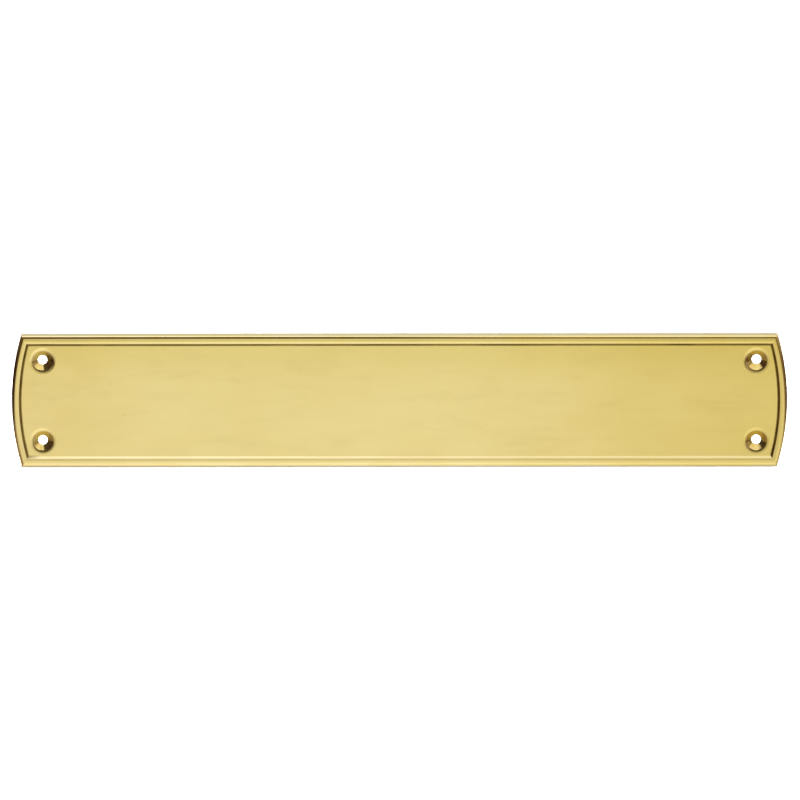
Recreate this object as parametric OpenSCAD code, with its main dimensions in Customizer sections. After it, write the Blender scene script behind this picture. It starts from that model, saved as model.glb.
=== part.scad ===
// Pressed brass finger plate for a door: a long plate with bowed ends, a raised
// stepped border and four countersunk dimples for wood screws.
// Millimetres. X runs along the plate, Z runs up its width and Y is its depth:
// the edges that lie against the door are in the plane Y = 0 and the face looks to -Y.
// The origin is the middle of the back.

/* [Plate] */
// Length over the tips of the bowed ends
plate_length = 382; // [240:1:450]
// Width across the two straight edges
plate_width = 66.5; // [55:0.5:90]
// How far the border stands off the door
plate_depth = 5.5; // [5:0.1:8]
// Thickness of the brass sheet
sheet = 1.5; // [0.9:0.1:1.6]
// Radius of the bow at each end
end_radius = 115; // [80:1:400]

/* [Border] */
// Radius of the rolled outer edge
edge_radius = 2; // [0.5:0.1:2.2]
// Width of the flat top of the border along the two straight edges
side_band = 2.2; // [1:0.1:3]
// Width of the flat top of the border at the two bowed ends
end_band = 1.5; // [1:0.1:3]
// How far the middle of the plate sits below the border
recess = 1.2; // [0.5:0.05:1.4]
// Slope of the step between the border and the middle, in degrees
step_slope = 45; // [35:1:60]

/* [Screw holes] */
// Distance from the tip of a bowed end to the line of its two holes
hole_inset_x = 15.25; // [14.5:0.25:25]
// Distance from a straight edge to its holes
hole_inset_z = 13; // [13:0.25:20]
// Diameter of each screw hole
hole_diameter = 4.7; // [4:0.1:5.4]
// Diameter of the countersink where it meets the shallow dish round it
sink_diameter = 10.3; // [9:0.1:10.6]
// Diameter of the shallow dish
dish_diameter = 12.6; // [12:0.1:13.4]
// Slope of the countersink against the face, in degrees
sink_slope = 39; // [36:1:50]

/* [Hidden] */
$fn = 96;
// how far a cutting shape reaches past the metal
over = 2;
face_height = plate_depth - recess;
end_centre = plate_length / 2 - end_radius;
hole_x = plate_length / 2 - hole_inset_x;
hole_z = plate_width / 2 - hole_inset_z;
step_width = recess / tan(step_slope);
dish_slope = 12;
// heights off the door of the two edges of the countersink
sink_height = face_height - (dish_diameter - sink_diameter) / 2 * tan(dish_slope);
foot_height = sink_height - (sink_diameter - hole_diameter) / 2 * tan(sink_slope);
// the straight wall of each hole, and the flare behind it
land = 0.5;
flare = 0.5;
hole_radius = hole_diameter / 2;
// the metal round a hole is a sheet's thickness behind the countersink
dimple_foot = foot_height - sheet * cos(sink_slope);
dimple_radius = hole_radius + sheet * sin(sink_slope);

// The section modules draw one half of a cross section. Their first axis is the distance
// from the middle, their second the height off the door. reach is the distance to the outline
// and band the width of the border's flat top.

// The outside of the plate, with its rolled edge.
module outside_section(reach) {
    square([reach - edge_radius, plate_depth]);
    square([reach, plate_depth - edge_radius]);
    translate([reach - edge_radius, plate_depth - edge_radius])
        circle(edge_radius);
}

// The space in front of the sunk middle, which opens out over the step.
module recess_section(reach, band) {
    top = reach - edge_radius - band;
    foot = top - step_width;
    open = foot + step_width * (1 + over / recess);
    polygon([
        [0, face_height],
        [foot, face_height],
        [open, plate_depth + over],
        [0, plate_depth + over]
    ]);
}

// The hollow behind the plate, as deep as the back of the border.
module hollow_section(reach) {
    translate([0, -over])
        square([reach - sheet, plate_depth - sheet + over]);
}

// The sheet behind the sunk middle, which takes up the deepest part of the hollow.
module middle_section(reach, band) {
    top = reach - edge_radius - band;
    polygon([
        [0, face_height - sheet],
        [top - step_width, face_height - sheet],
        [top, plate_depth - sheet],
        [top, plate_depth],
        [0, plate_depth]
    ]);
}

// Runs a half section and its mirror image along the plate.
module straight() {
    rotate([180, -90, 0])
        linear_extrude(plate_length + 4 * over, center = true) {
            children();
            mirror([1, 0])
                children();
        }
}

// Turns a half section about the centre of one bow, and carries its middle on as a slab
// past the other end of the plate.
module bow(side, low, high) {
    translate([side * end_centre, 0, 0])
        rotate([90, 0, 0])
            rotate_extrude($fn = 240)
                children();
    slab = end_centre + plate_length / 2 + 2 * over;
    translate([side * (end_centre - slab / 2), -(low + high) / 2, 0])
        cube([slab, high - low, plate_width + 4 * over], center = true);
}

// What the straight run and both bows have in common. The first child is the section across
// the width, the second the same section at the ends.
module layer(low, high) {
    intersection() {
        straight()
            children(0);
        bow(-1, low, high)
            children(1);
        bow(1, low, high)
            children(1);
    }
}

module at_holes() {
    for (x = [-hole_x, hole_x])
        for (z = [-hole_z, hole_z])
            translate([x, 0, z])
                rotate([90, 0, 0])
                    children();
}

// The sheet pressed back around a hole.
module dimple() {
    height = face_height - sheet / 2 - dimple_foot;
    translate([0, 0, dimple_foot])
        cylinder(height, dimple_radius, dimple_radius + height / tan(sink_slope));
}

// The hole with its flared back, its countersink and the shallow dish round it.
module countersink() {
    translate([0, 0, -over])
        cylinder(foot_height + 2 * over, hole_radius, hole_radius);
    rotate_extrude()
        polygon([
            [0, -over],
            [hole_radius + flare, -over],
            [hole_radius + flare, foot_height - land - flare],
            [hole_radius, foot_height - land],
            [0, foot_height - land]
        ]);
    rotate_extrude()
        polygon([
            [0, foot_height],
            [hole_radius, foot_height],
            [sink_diameter / 2, sink_height],
            [dish_diameter / 2, face_height],
            [dish_diameter / 2, plate_depth + over],
            [0, plate_depth + over]
        ]);
}

module plate() {
    side = plate_width / 2;
    color([0.83, 0.67, 0.33])
        difference() {
            union() {
                difference() {
                    layer(0, plate_depth) {
                        outside_section(side);
                        outside_section(end_radius);
                    }
                    layer(face_height, plate_depth + over) {
                        recess_section(side, side_band);
                        recess_section(end_radius, end_band);
                    }
                    difference() {
                        layer(-over, plate_depth - sheet) {
                            hollow_section(side);
                            hollow_section(end_radius);
                        }
                        layer(face_height - sheet, plate_depth) {
                            middle_section(side, side_band);
                            middle_section(end_radius, end_band);
                        }
                    }
                }
                at_holes()
                    dimple();
            }
            at_holes()
                countersink();
        }
}

plate();
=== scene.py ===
import math

import bpy
from mathutils import Matrix, Quaternion, Vector
from mathutils.geometry import delaunay_2d_cdt


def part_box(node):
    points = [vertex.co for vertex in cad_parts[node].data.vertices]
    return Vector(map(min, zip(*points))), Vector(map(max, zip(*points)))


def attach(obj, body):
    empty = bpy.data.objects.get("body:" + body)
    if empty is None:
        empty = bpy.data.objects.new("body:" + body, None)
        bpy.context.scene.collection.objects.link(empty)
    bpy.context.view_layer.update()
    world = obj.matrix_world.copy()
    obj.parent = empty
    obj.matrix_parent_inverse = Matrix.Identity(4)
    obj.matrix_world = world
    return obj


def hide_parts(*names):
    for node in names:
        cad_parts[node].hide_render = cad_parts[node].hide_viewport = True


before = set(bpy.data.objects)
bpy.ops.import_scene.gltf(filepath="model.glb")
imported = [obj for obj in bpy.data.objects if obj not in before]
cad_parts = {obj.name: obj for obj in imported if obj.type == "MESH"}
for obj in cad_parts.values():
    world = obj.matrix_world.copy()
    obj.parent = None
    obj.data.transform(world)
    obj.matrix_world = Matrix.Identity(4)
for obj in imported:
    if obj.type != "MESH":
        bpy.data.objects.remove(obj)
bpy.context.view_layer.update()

# The plate's own frame: X along it, Z up its width, the door side at Y = 0 and the face to -Y.
MM = 0.001
low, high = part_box("plate")
LENGTH = high.x - low.x
WIDTH = high.z - low.z
DEPTH = high.y - low.y
SHEET = 1.5 * MM
RECESS = 1.2 * MM
FACE = DEPTH - RECESS
EDGE_RADIUS = 2 * MM
SIDE_BAND = 2.2 * MM
END_BAND = 1.5 * MM
STEP_WIDTH = 1.2 * MM
CROWN = 0.1 * MM
LAND = 0.5 * MM
FLARE = 0.5 * MM
BOW_RADIUS = 115 * MM
BOW_CENTRE = LENGTH / 2 - BOW_RADIUS
HOLE_X = LENGTH / 2 - 15.25 * MM
HOLE_Z = WIDTH / 2 - 13 * MM
HOLE_RADIUS = 2.35 * MM
SINK_RADIUS = 5.15 * MM
SINK_SLOPE = math.radians(39)
DISH_RADIUS = 6.3 * MM
DISH_SLOPE = math.radians(12)

# Segments of the mesh.
STRAIGHT_STEPS = 60
BOW_STEPS = 64
AROUND = 96
FIELD_ROWS = 12


# ---------------------------------------------------------------- the plate's skin

# What the surface is like at a point: how far its polish is worn bright, how much painted shade it
# gets in creases and holes, and how far it belongs to the unpolished back. The mesh carries them as
# colours.
PLAIN_FACE = (0, 0, 0)
PLAIN_BACK = (0, 0, 1)


def rounded(corners, spacing=math.radians(6)):
    """Stations along a section whose corners are (across, height, radius, finish).

    Each station is (across, height, normal across, normal height, finish). The metal is on the left
    of the way the section runs, and the normal on the right turns smoothly through every rounded
    corner.
    """
    points = [Vector((across, height)) for across, height, _, _ in corners]
    stations = []
    for i, (point, (_, _, radius, finish_and_shade)) in enumerate(zip(points, corners)):
        if i in (0, len(points) - 1):
            ahead = points[1] - points[0] if i == 0 else points[-1] - points[-2]
            ahead.normalize()
            stations.append((point.x, point.y, ahead.y, -ahead.x, finish_and_shade))
            continue
        before = (point - points[i - 1]).normalized()
        after = (points[i + 1] - point).normalized()
        turn = math.atan2(before.cross(after), before.dot(after))
        if abs(turn) < 1e-6:
            stations.append((point.x, point.y, before.y, -before.x, finish_and_shade))
            continue
        cut = radius * math.tan(abs(turn) / 2)
        side = math.copysign(1, turn)
        start = point - before * cut
        centre = start + side * radius * Vector((-before.y, before.x))
        steps = max(2, round(abs(turn) / spacing))
        for step in range(steps + 1):
            angle = turn * step / steps
            ahead = Vector((
                before.x * math.cos(angle) - before.y * math.sin(angle),
                before.x * math.sin(angle) + before.y * math.cos(angle),
            ))
            left = Vector((-ahead.y, ahead.x))
            place = centre - side * radius * left
            stations.append((place.x, place.y, -left.x, -left.y, finish_and_shade))
    return stations


class Skin:
    """Collects points and faces, with the true normal of the surface at every corner of each face."""

    def __init__(self):
        self.points = []
        self.finishes_and_shades = []
        self.faces = []
        self.normals = []

    def point(self, place, finish_and_shade):
        self.points.append(place)
        self.finishes_and_shades.append(finish_and_shade)
        return len(self.points) - 1

    def face(self, corners):
        """corners are (point's number, normal) pairs. The face is turned to look along its normals."""
        a, b, c = (Vector(self.points[corners[i][0]]) for i in (0, 1, 2))
        facing = (b - a).cross(c - a)
        mean = sum((Vector(normal) for _, normal in corners), Vector())
        if facing.dot(mean) < 0:
            corners = corners[::-1]
        self.faces.append([number for number, _ in corners])
        self.normals.extend(normal for _, normal in corners)

    def strip(self, ring_a, ring_b):
        """Joins two rows of (point's number, normal) pairs of the same length with four-sided faces."""
        for i in range(len(ring_a) - 1):
            self.face([ring_a[i], ring_a[i + 1], ring_b[i + 1], ring_b[i]])

    def build(self, name):
        mesh = bpy.data.meshes.new(name)
        mesh.from_pydata(self.points, [], self.faces)
        mesh.polygons.foreach_set("use_smooth", [True] * len(mesh.polygons))
        mesh.normals_split_custom_set(self.normals)
        colours = mesh.color_attributes.new(name="finish_and_shade", type="FLOAT_COLOR", domain="POINT")
        colours.data.foreach_set("color", [v for finish_and_shade in self.finishes_and_shades for v in (*finish_and_shade, 1)])
        mesh.update()
        piece = bpy.data.objects.new(name, mesh)
        bpy.context.scene.collection.objects.link(piece)
        return piece


def side_rows(side_inset, end_inset):
    """The plate's outline moved in, as its four sides in order: top, right, bottom, left.

    Each side is a list of (x, z, way in x, way in z), and ends where the next one begins.
    """
    z = WIDTH / 2 - side_inset
    radius = BOW_RADIUS - end_inset
    half_angle = math.asin(z / radius)
    x = BOW_CENTRE + radius * math.cos(half_angle)
    straight = [2 * i / STRAIGHT_STEPS - 1 for i in range(STRAIGHT_STEPS + 1)]
    angles = [half_angle * (1 - 2 * i / BOW_STEPS) for i in range(BOW_STEPS + 1)]
    top = [(x * t, z, 0, -1) for t in straight]
    right = [
        (BOW_CENTRE + radius * math.cos(a), radius * math.sin(a), -math.cos(a), -math.sin(a))
        for a in angles
    ]
    bottom = [(-px, -pz, -nx, -nz) for px, pz, nx, nz in top]
    left = [(-px, -pz, -nx, -nz) for px, pz, nx, nz in right]
    return [top, right, bottom, left]


def border(skin, side_stations, end_stations):
    """Carries the border's two sections round the outline. Returns the first and last rings.

    The painted shade of the creases is kept where the section looks down or sideways, and left out
    where it looks up.
    """
    rings = []
    for (side_inset, height, across, up, finish_and_shade), (end_inset, *_) in zip(side_stations, end_stations):
        sides = side_rows(side_inset, end_inset)
        worn, crease_shade, back = finish_and_shade
        numbers = [
            [
                skin.point((x, -height, z), (worn, crease_shade * min(1, 1 - nz), back))
                for x, z, _, nz in side[:-1]
            ]
            for side in sides
        ]
        ring = []
        for i, side in enumerate(sides):
            corners = numbers[i] + [numbers[(i + 1) % 4][0]]
            ring.append([
                (number, (across * nx, -up, across * nz))
                for number, (_, _, nx, nz) in zip(corners, side)
            ])
        rings.append(ring)
    for ring_a, ring_b in zip(rings, rings[1:]):
        for side_a, side_b in zip(ring_a, ring_b):
            skin.strip(side_a, side_b)
    return rings[0], rings[-1]


def hole(skin, centre_x, centre_z, stations):
    """Turns a hole's section about its axis. Returns the first and last rings of point numbers."""
    turns = [2 * math.pi * i / AROUND for i in range(AROUND)]
    rings = []
    for reach, height, across, up, finish_and_shade in stations:
        ring = []
        for a in turns:
            x = centre_x + reach * math.cos(a)
            z = centre_z + reach * math.sin(a)
            normal = (across * math.cos(a), -up, across * math.sin(a))
            ring.append((skin.point((x, -height, z), finish_and_shade), normal))
        rings.append(ring + ring[:1])
    for ring_a, ring_b in zip(rings, rings[1:]):
        skin.strip(ring_a, ring_b)
    return [n for n, _ in rings[0][:-1]], [n for n, _ in rings[-1][:-1]]


def fill(skin, outline, openings, normal):
    """Fills a flat outline that bulges everywhere, except its round openings, with triangles."""
    numbers, flat, edges = [], [], []
    for loop in [outline, *openings]:
        start = len(numbers)
        edges += [(start + i, start + (i + 1) % len(loop)) for i in range(len(loop))]
        numbers += loop
        flat += [Vector((skin.points[n][0], skin.points[n][2])) / MM for n in loop]
    round_holes = []
    for loop in openings:
        places = [flat[numbers.index(n)] for n in loop]
        centre = sum(places, Vector((0, 0))) / len(places)
        round_holes.append((centre, (places[0] - centre).length))
    points, _, triangles, sources, *_ = delaunay_2d_cdt(flat, edges, [], 0, 1e-7)
    for triangle in triangles:
        middle = sum((points[i] for i in triangle), Vector((0, 0))) / 3
        if all((middle - centre).length > radius for centre, radius in round_holes):
            skin.face([(numbers[sources[i][0]], normal) for i in triangle])


def flat_field(skin, ring, left_holes, right_holes, normal):
    """The flat middle: a grid along the plate, and an end panel round each pair of holes."""
    top, right, bottom, left = [[number for number, _ in side] for side in ring]
    bottom = bottom[::-1]
    inner = HOLE_X - 3 * HOLE_Z / 2
    columns = [i for i, n in enumerate(top) if abs(skin.points[n][0]) < inner]
    height, finish_and_shade = skin.points[top[0]][1], skin.finishes_and_shades[top[0]]
    grid = []
    for i in columns:
        x, z = skin.points[top[i]][0], skin.points[top[i]][2]
        rows = [1 - 2 * j / FIELD_ROWS for j in range(1, FIELD_ROWS)]
        between = (skin.point((x, height, z * t), finish_and_shade) for t in rows)
        grid.append([top[i], *between, bottom[i]])
    for a, b in zip(grid, grid[1:]):
        skin.strip([(n, normal) for n in a], [(n, normal) for n in b])
    first, last = columns[0], columns[-1]
    left_panel = top[:first] + grid[0] + bottom[:first][::-1] + left[1:-1]
    right_panel = top[last + 1:] + right[1:-1] + bottom[last + 1:][::-1] + grid[-1][::-1]
    fill(skin, left_panel, left_holes, normal)
    fill(skin, right_panel, right_holes, normal)


def border_section(band):
    """The border from the flat middle, out over its crowned band, down the wall and back in."""
    top = EDGE_RADIUS + band
    foot = top + STEP_WIDTH - CROWN
    under = FACE - SHEET
    back_of_band = DEPTH - SHEET
    return rounded([
        # The middle number of each station's surface values is painted shade: full down the step and at
        # its foot, fading onto the field, faint on the lip, the back edge and the hollow behind the
        # band.
        (foot + 0.5 * MM, FACE, 0, PLAIN_FACE),
        (foot + 0.25 * MM, FACE, 0, (0, 0.6, 0)),
        (foot, FACE, 0.08 * MM, (0, 1, 0)),
        (top + 0.25 * MM, DEPTH - CROWN - 0.25 * MM, 0, (0, 1, 0)),
        (top, DEPTH - CROWN, 0.15 * MM, (0.8, 0.1, 0)),
        ((top + EDGE_RADIUS) / 2, DEPTH, 7 * MM, PLAIN_FACE),
        (0, DEPTH - 1.6 * CROWN, EDGE_RADIUS, (0.5, 0, 0)),
        (0, 0, 0.2 * MM, (0, 0.3, 0.2)),
        (SHEET, 0, 0.2 * MM, PLAIN_BACK),
        (SHEET, back_of_band, 0.6 * MM, (0, 0.5, 1)),
        (top + 0.3 * MM, back_of_band, 0.5 * MM, PLAIN_BACK),
        (foot + 0.3 * MM, under, 0.5 * MM, PLAIN_BACK),
        (foot + 0.9 * MM, under, 0, PLAIN_BACK),
    ])


def hole_section():
    """A hole from the flat middle, down its dish and countersink, and back up behind the dimple."""
    under = FACE - SHEET
    sink_height = FACE - (DISH_RADIUS - SINK_RADIUS) * math.tan(DISH_SLOPE)
    foot = sink_height - (SINK_RADIUS - HOLE_RADIUS) * math.tan(SINK_SLOPE)
    seat = foot - SHEET * math.cos(SINK_SLOPE)
    seat_radius = HOLE_RADIUS + SHEET * math.sin(SINK_SLOPE)
    dimple_radius = seat_radius + (under - seat) / math.tan(SINK_SLOPE)
    return rounded([
        # The middle number of each station's surface values is painted shade: faint at the rim and foot
        # of the countersink, strong down the bore.
        (DISH_RADIUS + 0.7 * MM, FACE, 0, PLAIN_FACE),
        (DISH_RADIUS, FACE, 6 * MM, PLAIN_FACE),
        (SINK_RADIUS, sink_height, 2.0 * MM, (0.3, 0.1, 0)),
        (HOLE_RADIUS, foot, 0.15 * MM, (0, 0.1, 0)),
        (HOLE_RADIUS, foot - LAND, 0.1 * MM, (0, 0.8, 0.6)),
        (HOLE_RADIUS + FLARE, seat, 0.1 * MM, PLAIN_BACK),
        (seat_radius, seat, 0.2 * MM, PLAIN_BACK),
        (dimple_radius, under, 1.0 * MM, PLAIN_BACK),
        (dimple_radius + 0.6 * MM, under, 0, PLAIN_BACK),
    ])


def make_plate():
    """The whole plate as one closed skin of pressed sheet."""
    skin = Skin()
    front_ring, back_ring = border(skin, border_section(SIDE_BAND), border_section(END_BAND))
    front_holes, back_holes = {}, {}
    for side in (-1, 1):
        pairs = [hole(skin, side * HOLE_X, z, hole_section()) for z in (HOLE_Z, -HOLE_Z)]
        front_holes[side] = [front for front, _ in pairs]
        back_holes[side] = [back for _, back in pairs]
    flat_field(skin, front_ring, front_holes[-1], front_holes[1], (0, -1, 0))
    flat_field(skin, back_ring, back_holes[-1], back_holes[1], (0, 1, 0))
    return skin.build("brass_plate")


# ---------------------------------------------------------------- materials

def node_tree(material):
    material.use_nodes = True
    tree = material.node_tree
    tree.nodes.clear()
    return tree


def add_node(tree, kind, **settings):
    node = tree.nodes.new(kind)
    for name, value in settings.items():
        setattr(node, name, value)
    return node


def value_of(tree, operation, first, second=None):
    """A math node whose inputs are sockets or numbers."""
    node = add_node(tree, "ShaderNodeMath", operation=operation)
    for socket, value in zip(node.inputs, (first, second)):
        if isinstance(value, bpy.types.NodeSocket):
            tree.links.new(value, socket)
        elif value is not None:
            socket.default_value = value
    return node.outputs[0]


def scaled(tree, value, amount):
    return value_of(tree, "MULTIPLY", value, amount)


def spread(tree, value, start, end, smooth=True):
    """0 where value is start, 1 where it is end, and flat beyond both."""
    node = add_node(tree, "ShaderNodeMapRange")
    node.interpolation_type = "SMOOTHSTEP" if smooth else "LINEAR"
    node.inputs["From Min"].default_value = start
    node.inputs["From Max"].default_value = end
    tree.links.new(value, node.inputs["Value"])
    return node.outputs["Result"]


def blend(tree, share, first, second, kind="MIX"):
    """A colour mix of two sockets or plain colours."""
    node = add_node(tree, "ShaderNodeMix", data_type="RGBA", blend_type=kind)
    factor = node.inputs["Factor"]
    colours = [socket for socket in node.inputs if socket.type == "RGBA"]
    for socket, value in zip([factor, *colours], (share, first, second)):
        if isinstance(value, bpy.types.NodeSocket):
            tree.links.new(value, socket)
        elif socket.type == "RGBA":
            socket.default_value = (*value, 1)
        else:
            socket.default_value = value
    return next(socket for socket in node.outputs if socket.type == "RGBA")


# The brass, as linear colours.
BRASS = (0.80, 0.655, 0.265)
BRASS_PALE = (0.82, 0.68, 0.29)
BRASS_WORN = (0.92, 0.80, 0.46)
# Dark brown for the specks, smears and back stains, and for the painted shade in creases and holes.
BRASS_GRIME_AND_SHADE = (0.14, 0.09, 0.006)
BRASS_BACK = (0.42, 0.28, 0.11)
BRASS_BACK_PALE = (0.55, 0.40, 0.17)
# Height of the finest relief of the polish.
RELIEF = 0.003 * MM


def stretched(tree, place, stretch, scale, detail=3, roughness=0.55):
    """Noise in the plate's own space, drawn out by stretch along each axis. scale is per metre."""
    mapping = add_node(tree, "ShaderNodeMapping")
    mapping.inputs["Scale"].default_value = stretch
    tree.links.new(place, mapping.inputs["Vector"])
    noise = add_node(tree, "ShaderNodeTexNoise")
    noise.inputs["Scale"].default_value = scale
    noise.inputs["Detail"].default_value = detail
    noise.inputs["Roughness"].default_value = roughness
    tree.links.new(mapping.outputs[0], noise.inputs["Vector"])
    return noise.outputs["Fac"]


def brass_material():
    """Polished and lacquered brass: fine lengthwise polishing lines, faint waves, painted shade in the
    corners, bright worn edges and a dull unpolished back."""
    material = bpy.data.materials.new("polished_brass")
    tree = node_tree(material)
    link = tree.links.new
    out = add_node(tree, "ShaderNodeOutputMaterial")
    shader = add_node(tree, "ShaderNodeBsdfPrincipled")
    shader.inputs["Metallic"].default_value = 1
    link(shader.outputs["BSDF"], out.inputs["Surface"])
    place = add_node(tree, "ShaderNodeTexCoord").outputs["Object"]
    finish_and_shade = add_node(tree, "ShaderNodeVertexColor", layer_name="finish_and_shade")
    parts = add_node(tree, "ShaderNodeSeparateColor")
    link(finish_and_shade.outputs["Color"], parts.inputs[0])
    worn, crease_shade, back = parts.outputs[0], parts.outputs[1], parts.outputs[2]

    clouds = stretched(tree, place, (0.6, 1, 1), 35)
    smears = stretched(tree, place, (0.25, 1, 1), 160, detail=4)
    lines = stretched(tree, place, (0.02, 1, 1), 2600, detail=2)
    specks = stretched(tree, place, (1, 1, 1), 900, detail=1)
    waves = stretched(tree, place, (0.5, 1, 1), 22, detail=1, roughness=0.4)

    colour = blend(tree, spread(tree, clouds, 0.35, 0.68), BRASS, BRASS_PALE)
    dull = scaled(tree, spread(tree, smears, 0.5, 0.75), 0.025)
    colour = blend(tree, dull, colour, BRASS_GRIME_AND_SHADE)
    spot = scaled(tree, spread(tree, specks, 0.72, 0.78), 0.25)
    colour = blend(tree, spot, colour, BRASS_GRIME_AND_SHADE)
    bright = scaled(tree, worn, spread(tree, smears, 0.3, 0.62))
    colour = blend(tree, scaled(tree, bright, 0.7), colour, BRASS_WORN)
    # Painted shade in the creases, step and holes, broken up by the smears.
    broken = value_of(tree, "ADD", scaled(tree, spread(tree, smears, 0.25, 0.7), 0.25), 0.7)
    colour = blend(tree, scaled(tree, crease_shade, broken), colour, BRASS_GRIME_AND_SHADE)
    stained = blend(tree, spread(tree, clouds, 0.3, 0.7), BRASS_BACK, BRASS_BACK_PALE)
    stain = scaled(tree, spread(tree, specks, 0.5, 0.75), 0.4)
    stained = blend(tree, stain, stained, BRASS_GRIME_AND_SHADE)
    colour = blend(tree, back, colour, stained)
    link(colour, shader.inputs["Base Color"])

    gloss = value_of(tree, "ADD", scaled(tree, spread(tree, smears, 0.35, 0.75), 0.05), 0.11)
    for source, amount in ((lines, 0.05), (crease_shade, 0.15), (back, 0.28)):
        gloss = value_of(tree, "ADD", gloss, scaled(tree, source, amount))
    link(gloss, shader.inputs["Roughness"])

    relief = value_of(tree, "ADD", scaled(tree, waves, 30), lines)
    pitting = scaled(tree, specks, scaled(tree, back, 9))
    relief = value_of(tree, "ADD", relief, pitting)
    bump = add_node(tree, "ShaderNodeBump")
    bump.inputs["Strength"].default_value = 1
    bump.inputs["Distance"].default_value = RELIEF
    link(relief, bump.inputs["Height"])
    link(bump.outputs["Normal"], shader.inputs["Normal"])
    return material


def floor_material():
    material = bpy.data.materials.new("studio_floor")
    tree = node_tree(material)
    out = add_node(tree, "ShaderNodeOutputMaterial")
    shader = add_node(tree, "ShaderNodeBsdfDiffuse")
    shader.inputs["Color"].default_value = (0.86, 0.86, 0.86, 1)
    tree.links.new(shader.outputs["BSDF"], out.inputs["Surface"])
    return material


# ---------------------------------------------------------------- studio

FLOOR_SIZE = 60
TABLE_SIZE = 8
# What the plate mirrors, by the angle round its long axis: 0 is straight ahead of its face,
# 90 overhead, 180 behind it and -90 below. Each colour is brightness times a warm or plain tint.
PLAIN = (1, 1, 1)
WARM = (1, 0.85, 0.65)
DEEP = (1, 0.8, 0.4)
ROOM = [
    (-180, 0.85, PLAIN),
    (-104, 0.95, PLAIN),
    (-75, 1.0, PLAIN),
    (-45, 1.35, PLAIN),
    (-26, 1.25, PLAIN),
    (-17, 1.08, PLAIN),
    (-10, 0.98, PLAIN),
    (-3, 0.85, PLAIN),
    (5, 0.5, WARM),
    (13, 0.12, DEEP),
    (70, 0.12, DEEP),
    (78, 0.4, WARM),
    (92, 0.65, PLAIN),
    (128, 0.7, PLAIN),
    (150, 0.8, PLAIN),
    (180, 0.85, PLAIN),
]
LEFT_LOW = (0.34, 0.25, 0.13)
LEFT_HIGH = (0.07, 0.045, 0.03)
RIGHT_DARK = (0.46, 0.37, 0.23)


def make_world():
    """A white room for the camera. What the plate mirrors changes with the angle round it."""
    world = bpy.data.worlds.new("studio")
    bpy.context.scene.world = world
    tree = node_tree(world)
    link = tree.links.new
    out = add_node(tree, "ShaderNodeOutputWorld")
    way = add_node(tree, "ShaderNodeTexCoord")
    parts = add_node(tree, "ShaderNodeSeparateXYZ")
    link(way.outputs["Generated"], parts.inputs[0])
    ahead = value_of(tree, "MULTIPLY", parts.outputs["Y"], -1)
    angle = value_of(tree, "ARCTAN2", parts.outputs["Z"], ahead)
    ramp = add_node(tree, "ShaderNodeValToRGB")
    ramp.color_ramp.interpolation = "EASE"
    while len(ramp.color_ramp.elements) < len(ROOM):
        ramp.color_ramp.elements.new(0.5)
    for element, (degrees, brightness, tint) in zip(ramp.color_ramp.elements, ROOM):
        element.position = (degrees + 180) / 360
        element.color = (*(brightness * t for t in tint), 1)
    link(spread(tree, angle, -math.pi, math.pi, smooth=False), ramp.inputs["Fac"])
    left = spread(tree, parts.outputs["X"], -0.04, -0.75, smooth=False)
    right = spread(tree, parts.outputs["X"], 0.35, 1.0, smooth=False)
    rise = spread(tree, parts.outputs["Z"], -0.12, 0.1)
    colour = blend(tree, left, ramp.outputs["Color"], blend(tree, rise, LEFT_LOW, LEFT_HIGH))
    colour = blend(tree, right, colour, RIGHT_DARK)
    room = add_node(tree, "ShaderNodeBackground")
    link(colour, room.inputs["Color"])
    white = add_node(tree, "ShaderNodeBackground")
    white.inputs["Color"].default_value = (1, 1, 1, 1)
    path = add_node(tree, "ShaderNodeLightPath")
    seen = add_node(tree, "ShaderNodeMixShader")
    link(path.outputs["Is Camera Ray"], seen.inputs["Fac"])
    link(room.outputs[0], seen.inputs[1])
    link(white.outputs[0], seen.inputs[2])
    link(seen.outputs[0], out.inputs["Surface"])


def studio_plane(name, width, depth, place, material):
    """A level plane of the studio. It isn't part of the plate."""
    bpy.ops.mesh.primitive_plane_add(size=1, location=place)
    plane = bpy.context.object
    plane.name = name
    plane.data.transform(Matrix.Diagonal((width, depth, 1, 1)))
    plane.data.materials.append(material)
    return plane


def only_mirrored(plane):
    """Keeps a plane out of sight, except in what the plate mirrors."""
    plane.visible_camera = False
    plane.visible_diffuse = False
    plane.visible_shadow = False


def make_floor():
    floor = studio_plane("floor", FLOOR_SIZE, FLOOR_SIZE, (0, 0, low.z), floor_material())
    floor.visible_glossy = False


def place_on_plane(tree):
    """The place along X and along Y, in metres from the plate's middle."""
    geometry = add_node(tree, "ShaderNodeNewGeometry")
    parts = add_node(tree, "ShaderNodeSeparateXYZ")
    tree.links.new(geometry.outputs["Position"], parts.inputs[0])
    return parts.outputs["X"], parts.outputs["Y"]


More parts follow.
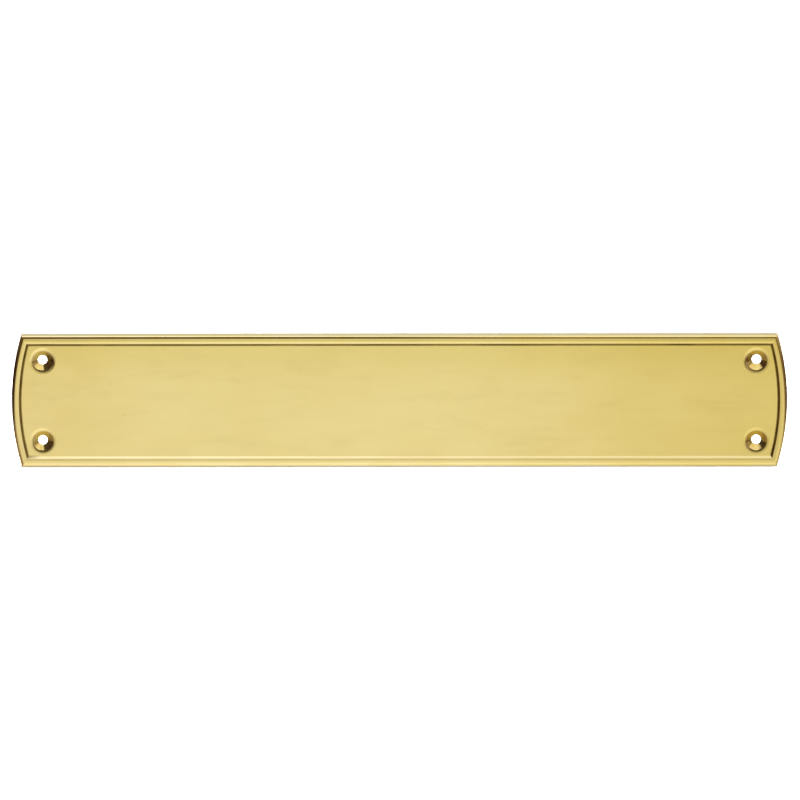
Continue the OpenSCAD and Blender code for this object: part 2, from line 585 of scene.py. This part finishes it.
def make_table():
    """The table's part in what the plate mirrors: it dims what lies below its own level."""
    material = bpy.data.materials.new("table_shade")
    tree = node_tree(material)
    out = add_node(tree, "ShaderNodeOutputMaterial")
    x, y = place_on_plane(tree)
    colour = blend(tree, spread(tree, x, 0.0, 0.19), (1, 1, 1), (0.88, 0.83, 0.62))
    colour = blend(tree, spread(tree, x, -0.1, -0.19), colour, (0.96, 0.93, 0.87))
    far = spread(tree, y, -0.2, -0.29)
    colour = blend(tree, far, colour, (0.91, 0.89, 0.68), "MULTIPLY")
    colour = blend(tree, spread(tree, x, -0.2, -0.3), colour, (0.12, 0.08, 0.06))
    colour = blend(tree, spread(tree, x, 0.2, 0.3), colour, (0.28, 0.2, 0.14))
    shade = add_node(tree, "ShaderNodeBsdfTransparent")
    tree.links.new(colour, shade.inputs["Color"])
    tree.links.new(shade.outputs[0], out.inputs["Surface"])
    place = (0, 0, low.z - 2 * MM)
    only_mirrored(studio_plane("table_shade", TABLE_SIZE, TABLE_SIZE, place, material))


SOFTBOX_HEIGHT = 0.45
# Each light's left, right, front and back, and its colour at the left, in the middle and at the
# right. The last two reach forward over the ends, for the screw holes.
SOFTBOXES = [
    ("softbox", (-0.26, 0.72, -0.135, 0.08),
     (1.4, 1.45, 2.0), (1.15, 1.18, 1.4), (1.05, 1.0, 0.9)),
    ("left_wing", (-0.26, 0.03, -0.26, -0.135),
     (1.25, 1.15, 0.95), (1.2, 1.1, 0.9), PLAIN),
    ("right_wing", (0.03, 0.95, -0.46, -0.135),
     (1.2, 1.1, 0.9), (1.2, 1.1, 0.9), (1.1, 0.95, 0.75)),
]


def make_softboxes():
    """Wide lights over the plate, brightest left of its middle, that show only in the brass."""
    for name, (left, right, front, back), far_left, middle, far_right in SOFTBOXES:
        material = bpy.data.materials.new(name)
        tree = node_tree(material)
        out = add_node(tree, "ShaderNodeOutputMaterial")
        x, _ = place_on_plane(tree)
        colour = blend(tree, spread(tree, x, -0.12, 0.12), far_left, middle)
        colour = blend(tree, spread(tree, x, 0.12, 0.5), colour, far_right)
        glow = add_node(tree, "ShaderNodeEmission")
        tree.links.new(colour, glow.inputs["Color"])
        tree.links.new(glow.outputs[0], out.inputs["Surface"])
        place = ((left + right) / 2, (front + back) / 2, SOFTBOX_HEIGHT)
        only_mirrored(studio_plane(name, right - left, back - front, place, material))


def make_lamp():
    """A wide soft lamp that lights the floor, and isn't seen in the brass."""
    lamp = bpy.data.lights.new("soft_lamp", "SUN")
    lamp.energy = 9
    lamp.angle = math.radians(80)
    holder = bpy.data.objects.new("soft_lamp", lamp)
    holder.rotation_euler = (math.radians(-10), math.radians(8), 0)
    holder.visible_glossy = False
    bpy.context.scene.collection.objects.link(holder)


CAMERA_DISTANCE = 8
CAMERA_ELEVATION = math.radians(13)
FRAME_SHARE = 0.969
# What the middle of the picture looks at, from the middle of the back.
LOOKS_AT = Vector((0.25, 0, -0.65)) * MM
CAMERA_ROLL = math.radians(-0.05)


def make_camera():
    """A long lens a little above the plate, whose length fills all but a thin margin of the frame."""
    data = bpy.data.cameras.new("camera")
    data.sensor_width = 36
    data.lens = data.sensor_width * CAMERA_DISTANCE / (LENGTH / FRAME_SHARE)
    data.clip_end = 100
    camera = bpy.data.objects.new("camera", data)
    back = Vector((0, -math.cos(CAMERA_ELEVATION), math.sin(CAMERA_ELEVATION)))
    camera.location = LOOKS_AT + back * CAMERA_DISTANCE
    aim = (-back).to_track_quat("-Z", "Y") @ Quaternion((0, 0, 1), CAMERA_ROLL)
    camera.rotation_euler = aim.to_euler()
    bpy.context.scene.collection.objects.link(camera)
    bpy.context.scene.camera = camera


# ---------------------------------------------------------------- the scene

bpy.context.scene.view_settings.view_transform = "Standard"
plate = make_plate()
plate.data.materials.append(brass_material())
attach(plate, "root")
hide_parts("plate")
make_world()
make_floor()
make_table()
make_softboxes()
make_lamp()
make_camera()
